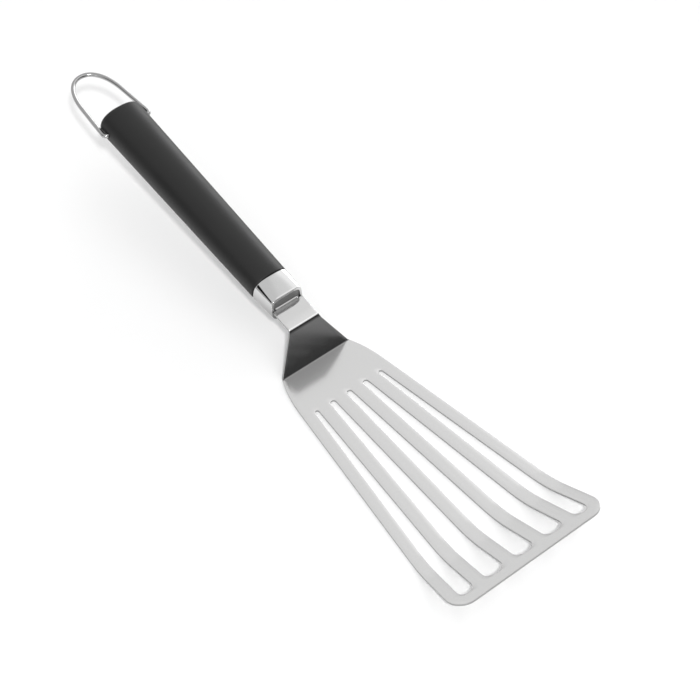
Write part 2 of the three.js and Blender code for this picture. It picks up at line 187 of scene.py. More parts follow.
def makeDome():
    world = bpy.data.worlds.new("softDome")
    scene.world = world
    world.use_nodes = True
    tree = world.node_tree
    sky = tree.nodes["Background"]
    direction = addNode(tree, "ShaderNodeTexCoord").outputs["Generated"]
    split = addNode(tree, "ShaderNodeSeparateXYZ")
    tree.links.new(direction, split.inputs[0])
    d = dome
    height = split.outputs["Z"]
    low = spread(tree, height, d["horizon"], d["middle"], d["riseFrom"], d["riseTo"], "SMOOTHSTEP")
    high = spread(tree, height, 0, d["top"] - d["middle"], d["riseTo"], 1)
    level = calc(tree, "ADD", low, high)
    for spot in domeSpots.values():
        dot = addNode(tree, "ShaderNodeVectorMath", operation="DOT_PRODUCT")
        tree.links.new(direction, dot.inputs[0])
        dot.inputs[1].default_value = toward(spot["azimuth"], spot["elevation"])
        full = math.cos(math.radians(spot["full"]))
        end = math.cos(math.radians(spot["end"]))
        share = spread(tree, dot.outputs["Value"], 1, spot["level"], end, full, "SMOOTHSTEP")
        level = calc(tree, "MULTIPLY", level, share)
    tree.links.new(level, sky.inputs["Color"])
    sky.inputs["Strength"].default_value = 1


def makeLamp():
    data = bpy.data.lights.new("softLamp", "POINT")
    data.energy = lamp["power"]
    data.shadow_soft_size = lamp["radius"] * mm
    bulb = bpy.data.objects.new("softLamp", data)
    away = back * lamp["back"] + right * lamp["right"] + up * lamp["up"]
    bulb.location = (Vector(view["target"]) + away) * mm
    scene.collection.objects.link(bulb)


makeFloor()
makeDome()
makeLamp()
print("stage ready")


# finishes
finish = dict(
    steel=grey(0.76, 0.002), cut=grey(0.42), plug=grey(0.25), wire=grey(0.45), pin=grey(0.6),
    # the collar's second colour here is painted shade, which its lower side darkens to
    collar=grey(0.68), collarPaintedShade=grey(0.36), grip=grey(0.006, -0.0001), core=grey(0.05),
)
polish = dict(
    smearScale=240, smearDetail=3, smearRough=0.5, smearLow=0.3, smearHigh=0.7, shade=0.95,
    # the last two bound the collar's painted shade, in mm of height
    bumpStrength=0.02, bumpDepth=0.1, paintedShadeLow=20, paintedShadeHigh=32,
)
softSkin = dict(
    fineScale=2600, fineDetail=2, fineRough=0.6, bumpStrength=0.1, bumpDepth=0.1,
    wornScale=60, wornDetail=4, wornLow=0.35, wornHigh=0.7, lift=1.2,
    roughLow=0.46, roughHigh=0.52, roughFrom=0.3, roughTo=0.7, specular=0.42,
)
moulding = dict(scale=700, detail=3, lift=1.3, roughLow=0.5, roughHigh=0.62)


def polishedSteel(name, colour, rough, stretch, foot=None):
    # rough is the least and the most roughness; foot is a colour that it darkens to, low down: painted
    # shade, standing in for the shadowed floor that the lower side mirrors
    p = polish
    material, tree, shader, coords = startMaterial(name)
    smear = noise(tree, coords, p["smearScale"], p["smearDetail"], p["smearRough"], stretch)
    dark = tuple(channel * p["shade"] for channel in colour[:3]) + (1,)
    tint = blendColours(tree, smear, dark, colour)
    # painted shade: the colour darkens towards the bottom, below heights set in the polish settings
    if foot:
        split = addNode(tree, "ShaderNodeSeparateXYZ")
        tree.links.new(coords, split.inputs[0])
        height = spread(tree, split.outputs["Z"], 0, 1, p["paintedShadeLow"] * mm, p["paintedShadeHigh"] * mm, "SMOOTHSTEP")
        tint = blendColours(tree, height, foot, tint)
    tree.links.new(tint, shader.inputs["Base Color"])
    shader.inputs["Metallic"].default_value = 1
    tree.links.new(spread(tree, smear, *rough, p["smearLow"], p["smearHigh"]), shader.inputs["Roughness"])
    tree.links.new(bump(tree, smear, p["bumpStrength"], p["bumpDepth"] * mm), shader.inputs["Normal"])
    return material


def softTouch():
    material, tree, shader, coords = startMaterial("softTouchBlack")
    s = softSkin
    fine = noise(tree, coords, s["fineScale"], s["fineDetail"], s["fineRough"])
    worn = noise(tree, coords, s["wornScale"], s["wornDetail"])
    base = finish["grip"]
    lifted = grey(base[1] * s["lift"])
    patches = spread(tree, worn, 0, 1, s["wornLow"], s["wornHigh"])
    tree.links.new(blendColours(tree, patches, base, lifted), shader.inputs["Base Color"])
    rough = spread(tree, worn, s["roughLow"], s["roughHigh"], s["roughFrom"], s["roughTo"])
    tree.links.new(rough, shader.inputs["Roughness"])
    shader.inputs["Specular IOR Level"].default_value = s["specular"]
    tree.links.new(bump(tree, fine, s["bumpStrength"], s["bumpDepth"] * mm), shader.inputs["Normal"])
    return material


def mouldedNylon():
    material, tree, shader, coords = startMaterial("mouldedNylon")
    fine = noise(tree, coords, moulding["scale"], moulding["detail"])
    base = finish["core"]
    lifted = grey(base[1] * moulding["lift"])
    tree.links.new(blendColours(tree, fine, base, lifted), shader.inputs["Base Color"])
    rough = spread(tree, fine, moulding["roughLow"], moulding["roughHigh"])
    tree.links.new(rough, shader.inputs["Roughness"])
    return material


# the collar's colour darkens low down with painted shade
collarSteel = polishedSteel(
    "polishedCollar", finish["collar"], rough=(0.07, 0.12), stretch=(0.3, 1, 1), foot=finish["collarPaintedShade"])
plugSteel = polishedSteel("greyPlug", finish["plug"], rough=(0.42, 0.5), stretch=(1, 0.2, 1))
wireSteel = polishedSteel("drawnWire", finish["wire"], rough=(0.16, 0.24), stretch=(1, 0.3, 1))
cutSteel = polishedSteel("shearedEdge", finish["cut"], rough=(0.4, 0.5), stretch=(1, 1, 1))
pinSteel = polishedSteel("plainPin", finish["pin"], rough=(0.25, 0.35), stretch=(1, 1, 0.2))
gripBlack = softTouch()
nylon = mouldedNylon()

# handle axes: X towards the blade with 0 where the grip meets the collar, Z up, millimetres
sheet = dict(
    rise=8.7, thickness=1.15, tangDrop=0.7, tangFront=15.8, tangLength=43.7, tangWidth=14, tangCorner=2,
    shoulder=0.3, neckWidth=19.2, neckLength=12.65,
    riserBend=58, riserRadius=1.5, riserLength=21.98, riserFillet=5,
    heelRadius=1.6, heelWidth=44, heelSweep=22.9, heelSlope=0.52, restPoint=13.9, flatLength=126.9,
    flareHalf=25.56, flareSlope=0.1404, curlRadius=55, curlAngle=18.5, tipLength=27.3, tipCorner=9.5,
    edgeRound=0.22, edgeSteps=3, edgeAngle=60, sharpAngle=50, rowGap=0.03, sweepRows=8,
)
rowsPerStep = dict(tang=8, neck=4, riserBend=10, riser=10, heelBend=12, flat=24, curl=14, tip=5)
slots = dict(
    start=26.2, frontRail=6.1, sideRail=6.8, barWidth=7.5, bars=6, outerLess=0.25,
    startRound=1.7, endRound=4.4, barSteps=3, roundRows=9, weld=0.005, numberGap=0.1,
)


def lerp(a, b, share):
    return a + (b - a) * share


def arcLength(radius, angle):
    return radius * math.radians(abs(angle))


heelBend = sheet["rise"] + sheet["riserBend"]
sheetSteps = [  # name, length, degrees turned
    ("tang", sheet["tangLength"], 0),
    ("neck", sheet["neckLength"], 0),
    ("riserBend", arcLength(sheet["riserRadius"], sheet["riserBend"]), -sheet["riserBend"]),
    ("riser", sheet["riserLength"], 0),
    ("heelBend", arcLength(sheet["heelRadius"], heelBend), heelBend),
    ("flat", sheet["flatLength"], 0),
    ("curl", arcLength(sheet["curlRadius"], sheet["curlAngle"]), sheet["curlAngle"]),
    ("tip", sheet["tipLength"], 0),
]
stepFrom = {}
sheetEnd = 0
for stepName, stepLength, _ in sheetSteps:
    stepFrom[stepName] = sheetEnd
    sheetEnd += stepLength
bladeFrom = stepFrom["flat"]
slotFrom = bladeFrom + slots["start"]
slotTo = sheetEnd - slots["frontRail"]


def sheetAt(distance):
    # middle of the sheet and its heading, a distance from the tang's rear end
    x = sheet["tangFront"] - sheet["tangLength"]
    z = -sheet["tangDrop"]
    heading = 0
    left = distance
    for _, length, angle in sheetSteps:
        run = min(left, length)
        turn = math.radians(angle) * run / length
        chord = run if turn == 0 else 2 * (length / math.radians(abs(angle))) * math.sin(abs(turn) / 2)
        x += chord * math.cos(heading + turn / 2)
        z += chord * math.sin(heading + turn / 2)
        heading += turn
        left -= run
        if left <= 0:
            break
    return x, z, heading


def makePartFrame():
    # from the handle's axes to the part's, in metres
    x, z, heading = sheetAt(bladeFrom + sheet["restPoint"])
    half = sheet["thickness"] / 2
    rest = Vector((x + half * math.sin(heading), 0, z - half * math.cos(heading)))
    turn = Matrix.Rotation(math.radians(sheet["rise"]), 4, "Y")
    return Matrix.Scale(mm, 4) @ Matrix.Translation(-(turn @ rest)) @ turn


partFrame = makePartFrame()


def addObject(name, mesh, material=None):
    if material:
        mesh.materials.append(material)
    piece = bpy.data.objects.new(name, mesh)
    scene.collection.objects.link(piece)
    return piece


def settle(piece):
    # modifiers become a plain mesh
    depsgraph = bpy.context.evaluated_depsgraph_get()
    mesh = bpy.data.meshes.new_from_object(piece.evaluated_get(depsgraph))
    piece.modifiers.clear()
    old = piece.data
    piece.data = mesh
    mesh.name = piece.name
    bpy.data.meshes.remove(old)


def tidyNormals(mesh, sharpAngle):
    work = bmesh.new()
    work.from_mesh(mesh)
    bmesh.ops.remove_doubles(work, verts=work.verts, dist=weldGap)
    bmesh.ops.recalc_face_normals(work, faces=work.faces)
    work.to_mesh(mesh)
    work.free()
    mesh.shade_smooth()
    mesh.set_sharp_from_angle(angle=math.radians(sharpAngle))


def skin(name, rings, poles=None, wrap=False):
    # faces over rings of equal count; poles close the two ends, wrap joins the last ring to the first
    count = len(rings[0])
    points = [point for ring in rings for point in ring]
    faces = []
    last = len(rings) if wrap else len(rings) - 1
    for r in range(last):
        here = r * count
        ahead = ((r + 1) % len(rings)) * count
        for i in range(count):
            j = (i + 1) % count
            faces.append((here + i, here + j, ahead + j, ahead + i))
    if poles:
        first = len(points)
        points += poles
        end = (len(rings) - 1) * count
        for i in range(count):
            j = (i + 1) % count
            faces.append((first, j, i))
            faces.append((first + 1, end + i, end + j))
    mesh = bpy.data.meshes.new(name)
    mesh.from_pydata(points, [], faces)
    return mesh


def cutWith(piece, cutters, operation="DIFFERENCE"):
    for cutter in cutters:
        cut = piece.modifiers.new("cut", "BOOLEAN")
        cut.operation = operation
        cut.solver = "EXACT"
        cut.object = cutter
    settle(piece)
    for cutter in cutters:
        bpy.data.objects.remove(cutter)


def solidBetween(name, outline, place):
    # a prism from a list of 2-D points; place turns a point and an end (0 or 1) into the handle's axes
    count = len(outline)
    points = [place(point, end) for end in (0, 1) for point in outline]
    faces = [tuple(range(count)), tuple(range(2 * count - 1, count - 1, -1))]
    faces += [(i, i + count, (i + 1) % count + count, (i + 1) % count) for i in range(count)]
    mesh = bpy.data.meshes.new(name)
    mesh.from_pydata(points, [], faces)
    work = bmesh.new()
    work.from_mesh(mesh)
    bmesh.ops.recalc_face_normals(work, faces=work.faces)
    work.to_mesh(mesh)
    work.free()
    return addObject(name, mesh)


def hand(piece, body, node):
    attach(piece, body)
    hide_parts(node)


# blade: a flat sheet with fanned slots, bent along its side path; lengths in mm, dishes in degrees
satin = dict(
    streaks=6, streakDetail=2, streakRough=0.5, streakStretch=(0.03, 1, 1), streakLow=0.3, streakHigh=0.7,
    shade=0.985, metal=0.82, roughLow=0.16, roughHigh=0.18, roughFrom=0.35, roughTo=0.65,
    neckRough=0.6, neckBlend=2,
    heelDish=7.2, heelReach=18, heelFade=14, neckDish=7.3, neckReach=8, neckFade=3,
)
# the riser's face carries a painted reflection of dark surroundings, darker from its top towards its foot,
# with painted shade just under the bend; it starts and ends at places in mm from its top and from the
# blade's start
riser = dict(
    topPaintedLevel=0.146, footPaintedLevel=0.094, bendShade=0.25, bendReach=1.6,
    topFrom=-0.9, topTo=-0.3, footFrom=-0.7, footTo=0.2,
)


def satinSteel():
    material, tree, shader, _ = startMaterial("satinSteel")
    place = addNode(tree, "ShaderNodeAttribute", attribute_name="sheetPlace").outputs["Vector"]
    s = satin
    r = riser
    grain = noise(tree, place, s["streaks"], s["streakDetail"], s["streakRough"], s["streakStretch"])
    light = finish["steel"]
    dark = grey(light[1] * s["shade"], light[0] - light[1])
    colour = blendColours(tree, spread(tree, grain, 0, 1, s["streakLow"], s["streakHigh"]), dark, light)
    split = addNode(tree, "ShaderNodeSeparateXYZ")
    tree.links.new(place, split.inputs[0])
    along = split.outputs["X"]
    # the riser's face is darker than the rest of the sheet: a painted reflection of dark surroundings,
    # darker towards the foot, with painted shade just under the bend
    riserFrom = stepFrom["riser"]
    top = spread(tree, along, 0, 1, riserFrom + r["topFrom"], riserFrom + r["topTo"], "SMOOTHSTEP")
    foot = spread(tree, along, 1, 0, bladeFrom + r["footFrom"], bladeFrom + r["footTo"], "SMOOTHSTEP")
    riserPaintedMask = calc(tree, "MULTIPLY", top, foot)
    tint = spread(tree, along, r["topPaintedLevel"], r["footPaintedLevel"], riserFrom, bladeFrom)
    # painted shade just under the bend
    bendPaintedShade = spread(tree, along, r["bendShade"], 1, riserFrom, riserFrom + r["bendReach"], "SMOOTHSTEP")
    riserPaintedReflection = calc(tree, "MULTIPLY", tint, bendPaintedShade)
    tree.links.new(blendColours(tree, riserPaintedMask, colour, riserPaintedReflection), shader.inputs["Base Color"])
    shader.inputs["Metallic"].default_value = s["metal"]
    rough = spread(tree, grain, s["roughLow"], s["roughHigh"], s["roughFrom"], s["roughTo"])
    neckEnd = stepFrom["riserBend"]
    smoother = spread(tree, along, s["neckRough"], 1, neckEnd - s["neckBlend"], neckEnd, "SMOOTHSTEP")
    tree.links.new(calc(tree, "MULTIPLY", rough, smoother), shader.inputs["Roughness"])
    # a slight dish at the neck and at the heel, so that each mirrors what stands behind it further out
    height = 0
    for where, start in (("neck", stepFrom["neck"]), ("heel", bladeFrom)):
        ahead = calc(tree, "MAXIMUM", calc(tree, "SUBTRACT", along, start), 0)
        dished = calc(tree, "SMOOTH_MIN", ahead, s[where + "Reach"], s[where + "Fade"])
        slope = math.tan(math.radians(s[where + "Dish"]))
        height = calc(tree, "MULTIPLY_ADD", dished, slope * mm, height)
    tree.links.new(bump(tree, height, 1, 1), shader.inputs["Normal"])
    return material


steel = satinSteel()


def halfAt(distance):
    s = sheet
    neckFrom = stepFrom["neck"] - s["shoulder"]
    neckHalf = s["neckWidth"] / 2
    heelHalf = s["heelWidth"] / 2
    riserTop = stepFrom["riser"]
    riserFoot = (stepFrom["heelBend"] + bladeFrom) / 2
    if distance < s["tangCorner"]:
        return s["tangWidth"] / 2 - s["tangCorner"] + distance
    if distance < neckFrom:
        return s["tangWidth"] / 2
    if distance < stepFrom["neck"]:
        return lerp(s["tangWidth"] / 2, neckHalf, (distance - neckFrom) / s["shoulder"])
    if distance < riserTop - s["riserFillet"] / 2:
        return neckHalf
    if distance < riserTop + s["riserFillet"] / 2:
        t = (distance - riserTop) / s["riserFillet"] + 0.5
        share = s["riserFillet"] / 2 / (riserFoot - riserTop)
        return neckHalf + t * t * (heelHalf - neckHalf) * share
    if distance < riserFoot:
        return lerp(neckHalf, heelHalf, (distance - riserTop) / (riserFoot - riserTop))
    sweepEnd = bladeFrom + s["heelSweep"]
    if distance < sweepEnd:
        run = sweepEnd - riserFoot
        endHalf = s["flareHalf"] + s["flareSlope"] * s["heelSweep"]
        meet = (endHalf - heelHalf - s["flareSlope"] * run) / (s["heelSlope"] - s["flareSlope"])
        bend = run - 2 * meet
        into = distance - riserFoot
        t = into / run if abs(bend) < tiny else (math.sqrt(meet * meet + bend * into) - meet) / bend
        meetHalf = heelHalf + s["heelSlope"] * meet
        return (1 - t) ** 2 * heelHalf + 2 * t * (1 - t) * meetHalf + t * t * endHalf
    flare = s["flareHalf"] + s["flareSlope"] * (distance - bladeFrom)
    lean = math.atan(s["flareSlope"])
    centre = sheetEnd - s["tipCorner"]
    if distance < centre - s["tipCorner"] * math.sin(lean):
        return flare
    centreHalf = s["flareHalf"] + s["flareSlope"] * (centre - bladeFrom) - s["tipCorner"] / math.cos(lean)
    return centreHalf + math.sqrt(max(0, s["tipCorner"] ** 2 - (distance - centre) ** 2))


def sheetRows():
    # distances that carry a row of points: close in the bends, the slots' ends and the tip's corners
    rows = [0, sheet["tangCorner"], stepFrom["neck"] - sheet["shoulder"], slotFrom, slotTo, sheetEnd]
    for name, length, _ in sheetSteps:
        count = rowsPerStep[name]
        rows += [stepFrom[name] + length * i / count for i in range(count + 1)]
    rows += [bladeFrom + sheet["heelSweep"] * i / sheet["sweepRows"] for i in range(sheet["sweepRows"] + 1)]
    turns = slots["roundRows"]
    for i in range(turns + 1):
        share = 1 - math.cos(math.pi / 2 * i / turns)
        rows += [slotFrom + slots["startRound"] * share, slotTo - slots["endRound"] * share]
        rows.append(sheetEnd - sheet["tipCorner"] * (1 - math.sin(math.pi / 2 * i / turns)))
    kept = []
    for row in sorted(rows):
        fixed = min(abs(row - slotFrom), abs(row - slotTo), abs(row - sheetEnd)) < tiny
        if kept and row - kept[-1] < sheet["rowGap"]:
            if not fixed:
                continue
            kept.pop()
        kept.append(row)
    return kept


def captured(tree, geometry, name, value, kind):
    node = addNode(tree, "GeometryNodeCaptureAttribute", domain="POINT")
    node.capture_items.new(kind, name)
    tree.links.new(geometry, node.inputs[0])
    tree.links.new(value, node.inputs[1])
    return node.outputs[0], node.outputs[1]


def newTree(name, numbers, counts):
    tree = bpy.data.node_groups.new(name, "GeometryNodeTree")
    sockets = tree.interface
    sockets.new_socket("Path", in_out="INPUT", socket_type="NodeSocketGeometry")
    for number in numbers:
        sockets.new_socket(number, in_out="INPUT", socket_type="NodeSocketFloat")
    for count in counts:
        sockets.new_socket(count, in_out="INPUT", socket_type="NodeSocketInt")
    sockets.new_socket("Finish", in_out="INPUT", socket_type="NodeSocketMaterial")
    sockets.new_socket("Mesh", in_out="OUTPUT", socket_type="NodeSocketGeometry")
    given = addNode(tree, "NodeGroupInput").outputs
    made = addNode(tree, "NodeGroupOutput").inputs
    return tree, given, made


def endTree(tree, geometry, finishSocket, made):
    smooth = addNode(tree, "GeometryNodeSetShadeSmooth")
    real = addNode(tree, "GeometryNodeRealizeInstances")
    paint = addNode(tree, "GeometryNodeSetMaterial")
    tree.links.new(geometry, smooth.inputs[0])
    tree.links.new(smooth.outputs[0], real.inputs[0])
    tree.links.new(real.outputs[0], paint.inputs[0])
    tree.links.new(finishSocket, paint.inputs["Material"])
    tree.links.new(paint.outputs[0], made[0])


def namedValue(tree, name):
    node = addNode(tree, "GeometryNodeInputNamedAttribute", data_type="FLOAT")
    node.inputs[0].default_value = name
    return node.outputs[0]


def slottedBladeTree():
    numbers = [
        "Flare Half", "Flare Slope", "Side Rail", "Bar Width", "Slot From", "Slot To", "Blade From",
        "Start Round", "End Round",
    ]
    tree, given, made = newTree("slottedBlade", numbers, ["Bar Steps"])
    count = slots["bars"] - 1
    less = slots["outerLess"]

    def m(operation, *values):
        return calc(tree, operation, *values)

    def same(value, number):
        return m("COMPARE", value, number, slots["numberGap"])

    # sweep a cross line of all the bars along the side path
    perBar = m("ADD", given["Bar Steps"], 1)
    toCurve = addNode(tree, "GeometryNodeMeshToCurve")
    tree.links.new(given["Path"], toCurve.inputs[0])
    place = addNode(tree, "GeometryNodeInputPosition")
    path, pathPlace = captured(tree, toCurve.outputs[0], "pathPlace", place.outputs[0], "VECTOR")
    cross = addNode(tree, "GeometryNodeCurvePrimitiveLine")
    cross.inputs["End"].default_value = (mm, 0, 0)
    cut = addNode(tree, "GeometryNodeResampleCurve", mode="COUNT")
    tree.links.new(cross.outputs[0], cut.inputs["Curve"])
    tree.links.new(m("MULTIPLY", perBar, slots["bars"]), cut.inputs["Count"])
    index = addNode(tree, "GeometryNodeInputIndex")
    line, column = captured(tree, cut.outputs[0], "column", index.outputs[0], "FLOAT")
    sweep = addNode(tree, "GeometryNodeCurveToMesh")
    tree.links.new(path, sweep.inputs["Curve"])
    tree.links.new(line, sweep.inputs["Profile Curve"])

    along = namedValue(tree, "along")
    half = namedValue(tree, "half")
    # the slots' rule, held still before and after the slots and squeezed there to the outline
    inSlots = m("MINIMUM", m("MAXIMUM", along, given["Slot From"]), given["Slot To"])
    fromBlade = m("SUBTRACT", inSlots, given["Blade From"])
    flare = m("MULTIPLY_ADD", fromBlade, given["Flare Slope"], given["Flare Half"])
    metal = m("MULTIPLY_ADD", given["Side Rail"], 2, m("MULTIPLY", given["Bar Width"], count - 1))
    unit = m("DIVIDE", m("SUBTRACT", m("MULTIPLY", flare, 2), metal), count - 2 * less)
    within = m("COMPARE", along, inSlots, tiny)
    squeeze = m("MULTIPLY_ADD", m("SUBTRACT", m("DIVIDE", half, flare), 1), m("SUBTRACT", 1, within), 1)
    fromStart = m("DIVIDE", m("SUBTRACT", along, given["Slot From"]), given["Start Round"])
    fromEnd = m("DIVIDE", m("SUBTRACT", given["Slot To"], along), given["End Round"])
    intoStart = m("MAXIMUM", m("SUBTRACT", 1, fromStart), 0)
    intoEnd = m("MAXIMUM", m("SUBTRACT", 1, fromEnd), 0)
    into = m("MINIMUM", m("MAXIMUM", intoStart, intoEnd), 1)
    opening = m("SQRT", m("MAXIMUM", m("SUBTRACT", 1, m("MULTIPLY", into, into)), 0))

    bar = m("FLOOR", m("DIVIDE", m("ADD", column, 0.5), perBar))
    share = m("DIVIDE", m("SUBTRACT", column, m("MULTIPLY", bar, perBar)), given["Bar Steps"])

    def slotSide(number, side):
        # one side of a slot; the outer two slots are narrower than the others
        before = m("MAXIMUM", m("SUBTRACT", number, less), 0)
        outer = m("MAXIMUM", same(number, 0), same(number, count - 1))
        width = m("MULTIPLY", unit, m("SUBTRACT", 1, m("MULTIPLY", outer, less)))
        bars = m("MULTIPLY", given["Bar Width"], number)
        start = m("ADD", m("SUBTRACT", given["Side Rail"], flare), m("MULTIPLY_ADD", unit, before, bars))
        middle = m("MULTIPLY_ADD", width, 0.5, start)
        return m("MULTIPLY", m("MULTIPLY_ADD", m("MULTIPLY", width, opening), side * 0.5, middle), squeeze)

    def pick(test, yes, no):
        return m("ADD", m("MULTIPLY", test, yes), m("MULTIPLY", m("SUBTRACT", 1, test), no))

    near = pick(same(bar, 0), m("MULTIPLY", half, -1), slotSide(m("SUBTRACT", bar, 1), 1))
    far = pick(same(bar, count), half, slotSide(bar, -1))
    across = m("MULTIPLY", m("MULTIPLY_ADD", m("SUBTRACT", far, near), share, near), mm)

    split = addNode(tree, "ShaderNodeSeparateXYZ")
    tree.links.new(pathPlace, split.inputs[0])
    join = addNode(tree, "ShaderNodeCombineXYZ")
    tree.links.new(split.outputs[0], join.inputs[0])
    tree.links.new(across, join.inputs[1])
    tree.links.new(split.outputs[2], join.inputs[2])
    move = addNode(tree, "GeometryNodeSetPosition")
    tree.links.new(sweep.outputs[0], move.inputs[0])
    tree.links.new(join.outputs[0], move.inputs["Position"])

    # drop the faces between bars inside the slots, and weld the rest
    between = same(m("FLOORED_MODULO", m("ADD", column, 0.5), perBar), 0)
    pastStart = m("GREATER_THAN", along, given["Slot From"])
    inside = m("MULTIPLY", pastStart, m("LESS_THAN", along, given["Slot To"]))
    drop = addNode(tree, "GeometryNodeDeleteGeometry", domain="FACE", mode="ALL")
    tree.links.new(move.outputs[0], drop.inputs[0])
    tree.links.new(m("MULTIPLY", between, inside), drop.inputs["Selection"])
    weld = addNode(tree, "GeometryNodeMergeByDistance")
    weld.inputs["Distance"].default_value = slots["weld"] * mm
    tree.links.new(drop.outputs[0], weld.inputs[0])
    endTree(tree, weld.outputs[0], given["Finish"], made)
    return tree


def runTree(piece, tree, values):
    maker = piece.modifiers.new(tree.name, "NODES")
    maker.node_group = tree
    for item in tree.interface.items_tree:
        if item.in_out == "INPUT" and item.name in values:
            maker[item.identifier] = values[item.name]
    return maker


def markSheet(mesh, rows):
    # every point keeps its distance along the flat sheet and across it, in millimetres
    turn = partFrame.to_3x3() * (1 / mm)
    path = []
    heads = []
    tree = kdtree.KDTree(len(rows))
    for i, row in enumerate(rows):
        x, z, heading = sheetAt(row)
        path.append(partFrame @ Vector((x, 0, z)))
        heads.append(turn @ Vector((math.cos(heading), 0, math.sin(heading))))
        tree.insert(path[i], i)
    tree.balance()
    values = []
    for vertex in mesh.vertices:
        flat = Vector((vertex.co.x, 0, vertex.co.z))
        _, i, _ = tree.find(flat)
        values += [rows[i] + (flat - path[i]).dot(heads[i]) / mm, vertex.co.y / mm, 0]
    mesh.attributes.new("sheetPlace", "FLOAT_VECTOR", "POINT").data.foreach_set("vector", values)


def makeBlade():
    rows = sheetRows()
    points = []
    for row in rows:
        x, z, _ = sheetAt(row)
        points.append(partFrame @ Vector((x, 0, z)))
    mesh = bpy.data.meshes.new("bladePath")
    mesh.from_pydata(points, [(i, i + 1) for i in range(len(rows) - 1)], [])
    for name, values in (("along", rows), ("half", [halfAt(row) for row in rows])):
        mesh.attributes.new(name, "FLOAT", "POINT").data.foreach_set("value", values)
    piece = addObject("slotted_blade", mesh)
    runTree(piece, slottedBladeTree(), {
        "Flare Half": sheet["flareHalf"], "Flare Slope": sheet["flareSlope"], "Side Rail": slots["sideRail"],
        "Bar Width": slots["barWidth"], "Slot From": slotFrom, "Slot To": slotTo, "Blade From": bladeFrom,
        "Start Round": slots["startRound"], "End Round": slots["endRound"], "Bar Steps": slots["barSteps"],
        "Finish": steel,
    })
    settle(piece)
    piece.data.materials.append(cutSteel)
    thick = piece.modifiers.new("thick", "SOLIDIFY")
    thick.material_offset_rim = 1
    thick.thickness = sheet["thickness"] * mm
    thick.offset = 0
    thick.use_even_offset = True
    edge = piece.modifiers.new("edge", "BEVEL")
    edge.width = sheet["edgeRound"] * mm
    edge.segments = sheet["edgeSteps"]
    edge.limit_method = "ANGLE"
    edge.angle_limit = math.radians(sheet["edgeAngle"])
    settle(piece)
    tidyNormals(piece.data, sheet["sharpAngle"])
    markSheet(piece.data, rows)
    hand(piece, "utensil", "blade")
    return piece


blade = makeBlade()
print("blade:", len(blade.data.polygons), "faces")


# grip: an oval that grows evenly to a rounded butt
grip = dict(
    length=138, frontHalf=11.5, buttHalf=13.3, frontHeight=8.65, buttHeight=9.95, power=2.35,
    frontRound=0.8, buttRound=3.2, buttDome=0.8, wall=1.5, buttWall=2.5, sides=112, roundSteps=9,
    domeShares=(0.12, 0.3, 0.5, 0.7, 0.88), bodySteps=20, frontSteps=4, boreSteps=6, sharpAngle=40,
)


def ovalRing(station, half, above, below, powerAbove, powerBelow, sides):
    ring = []
    for i in range(sides):
        angle = 2 * math.pi * i / sides
        c, s = math.cos(angle), math.sin(angle)
        power = 2 / (powerAbove if s >= 0 else powerBelow)
        across = half * math.copysign(abs(c) ** power, c)
        height = (above if s >= 0 else below) * math.copysign(abs(s) ** power, s)
        ring.append(Vector((station, across, height)))
    return ring


def gripHalf(station):
    return lerp(grip["frontHalf"], grip["buttHalf"], -station / grip["length"])


def gripHeight(station):
    return lerp(grip["frontHeight"], grip["buttHeight"], -station / grip["length"])


def gripRing(station, inset, scale=1.0, shift=0.0):
    half = (gripHalf(station) - inset) * scale
    height = (gripHeight(station) - inset) * scale
    return ovalRing(station + shift, half, height, height, grip["power"], grip["power"], grip["sides"])


def makeGrip():
    g = grip
    edge = -g["length"] + g["buttDome"]
    rings = []
    for share in g["domeShares"]:
        rings.append(gripRing(edge, g["buttRound"], share, -g["buttDome"] * (1 - share ** 2)))
    for i in range(g["roundSteps"] + 1):
        turn = math.pi / 2 * i / g["roundSteps"]
        station = edge + g["buttRound"] * (1 - math.cos(turn))
        rings.append(gripRing(station, g["buttRound"] * (1 - math.sin(turn))))
    bodyFrom = edge + g["buttRound"]
    for i in range(1, g["bodySteps"]):
        rings.append(gripRing(lerp(bodyFrom, -g["frontRound"], i / g["bodySteps"]), 0))
    for i in range(g["frontSteps"] + 1):
        turn = math.pi / 2 * i / g["frontSteps"]
        station = -g["frontRound"] * (1 - math.sin(turn))
        rings.append(gripRing(station, g["frontRound"] * (1 - math.cos(turn))))
    boreEnd = -g["length"] + g["buttWall"]
    for i in range(g["boreSteps"] + 1):
        rings.append(gripRing(lerp(0, boreEnd, i / g["boreSteps"]), g["wall"]))
    poles = [Vector((-g["length"], 0, 0)), Vector((boreEnd, 0, 0))]
    piece = addObject("soft_grip", skin("soft_grip", rings, poles), gripBlack)
    tidyNormals(piece.data, g["sharpAngle"])
    radius = wire["radius"] + wire["clear"]
    turns = [2 * math.pi * i / wire["holeSides"] for i in range(wire["holeSides"])]
    outline = [(radius * math.cos(turn), radius * math.sin(turn)) for turn in turns]
    reach = 2 * g["buttHalf"]

    def holePoint(point, end):
        return Vector((wire["hinge"] + point[0], reach * (2 * end - 1), wire["lift"] + point[1]))

    cutWith(piece, [solidBetween("footHole", outline, holePoint)])
    piece.data.transform(partFrame)
    tidyNormals(piece.data, g["sharpAngle"])
    hand(piece, "utensil", "grip_sleeve")
    return piece


# hang loop: one bent wire, its feet in the grip's sides
wire = dict(
    radius=1.25, clear=0.3, hinge=-128.3, lift=0.8, footEnd=8.6, legClear=0.85, legBend=2.5, legLength=24,
    legTaper=0.083, reach=45, archPull=13, archCrown=7.2, droop=4.5, sides=24, holeSides=40,
    footSteps=4, bendSteps=10, legSteps=8, archSteps=28, sharpAngle=50,
)


